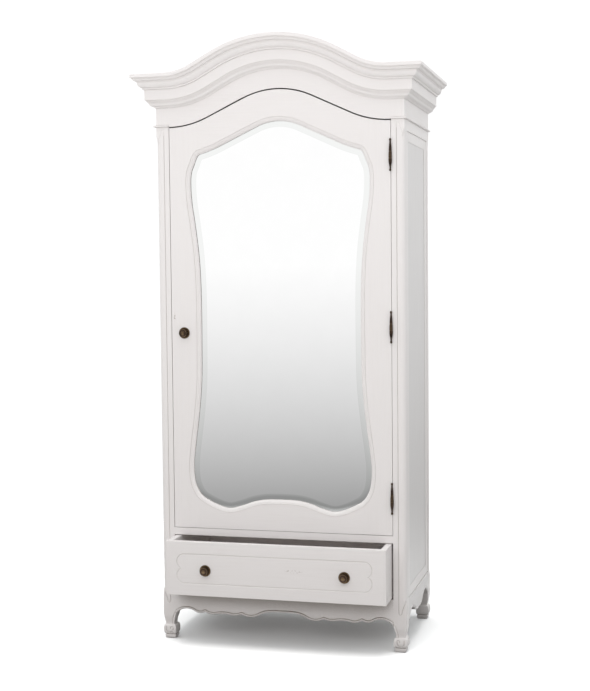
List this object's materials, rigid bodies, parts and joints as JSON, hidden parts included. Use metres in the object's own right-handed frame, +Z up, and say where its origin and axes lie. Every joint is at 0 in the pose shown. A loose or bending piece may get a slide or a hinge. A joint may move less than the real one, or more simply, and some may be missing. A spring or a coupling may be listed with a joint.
{
  "type": "mirrored wardrobe",
  "caption": "Freestanding painted wardrobe on scroll feet with a shaped mirror in a hinged arched door, a sliding drawer below and an arched moulded cornice.",
  "frame": {"origin": "on the floor, at the middle of the bounding box with the drawer as far out as the object stands", "axes": "+X to the right of someone facing the door, the front faces -Y, +Z up"},
  "size_m": [1.078, 0.6712, 2.23],
  "materials": {
    "painted_wood": "warm off-white brushed paint, satin",
    "inner_wood": "thin pale wash, matt",
    "mirror": "silvered glass with a bevelled edge",
    "bronze_hardware": "dark antique bronze, rubbed at the high points",
    "steel_fittings": "satin"
  },
  "bodies": {
    "carcass": {"post_front_left": "painted_wood", "post_front_right": "painted_wood", "post_rear_left": "painted_wood", "post_rear_right": "painted_wood", "side_panel_left": "painted_wood", "side_panel_right": "painted_wood", "side_moulding_left": "painted_wood", "side_moulding_right": "painted_wood", "side_top_rail_left": "painted_wood", "side_top_rail_right": "painted_wood", "side_apron_left": "painted_wood", "side_apron_right": "painted_wood", "front_apron": "painted_wood", "middle_rail": "painted_wood", "head_board": "painted_wood", "top_panel": "inner_wood", "rear_top_rail": "inner_wood", "rear_bottom_rail": "inner_wood", "back_panel": "inner_wood", "compartment_floor": "inner_wood", "drawer_runner_left": "inner_wood", "drawer_runner_right": "inner_wood", "shelf_batten_left": "inner_wood", "shelf_batten_right": "inner_wood", "hat_shelf": "inner_wood", "hanging_rail": "steel_fittings", "magnetic_catch": "steel_fittings", "cornice_front": "painted_wood", "cornice_left": "painted_wood", "cornice_right": "painted_wood", "frieze_front": "painted_wood", "frieze_left": "painted_wood", "frieze_right": "painted_wood", "astragal_left": "painted_wood", "astragal_right": "painted_wood", "hinge_top_frame_leaf": "bronze_hardware", "hinge_middle_frame_leaf": "bronze_hardware", "hinge_bottom_frame_leaf": "bronze_hardware", "hinge_top_pin": "bronze_hardware", "hinge_middle_pin": "bronze_hardware", "hinge_bottom_pin": "bronze_hardware"},
    "door": {"door_stile_left": "painted_wood", "door_stile_right": "painted_wood", "door_top_rail": "painted_wood", "door_bottom_rail": "painted_wood", "mirror_moulding": "painted_wood", "mirror": "mirror", "mirror_back": "inner_wood", "catch_strike": "steel_fittings", "door_knob": "bronze_hardware", "hinge_top_door_leaf": "bronze_hardware", "hinge_middle_door_leaf": "bronze_hardware", "hinge_bottom_door_leaf": "bronze_hardware"},
    "drawer": {"drawer_front": "painted_wood", "drawer_side_left": "painted_wood", "drawer_side_right": "painted_wood", "drawer_back": "inner_wood", "drawer_bottom": "inner_wood", "drawer_knob_left": "bronze_hardware", "drawer_knob_right": "bronze_hardware"}
  },
  "joints": [
    {"name": "door_hinge", "type": "hinge", "parent": "carcass", "child": "door", "pos_m": [0.4144, -0.2044, 1.179], "axis": [0, 0, 1], "range_deg": [0, 150]},
    {"name": "drawer_slide", "type": "slide", "parent": "carcass", "child": "drawer", "axis": [0, -1, 0], "range_m": [-0.112, 0.2]}
  ]
}
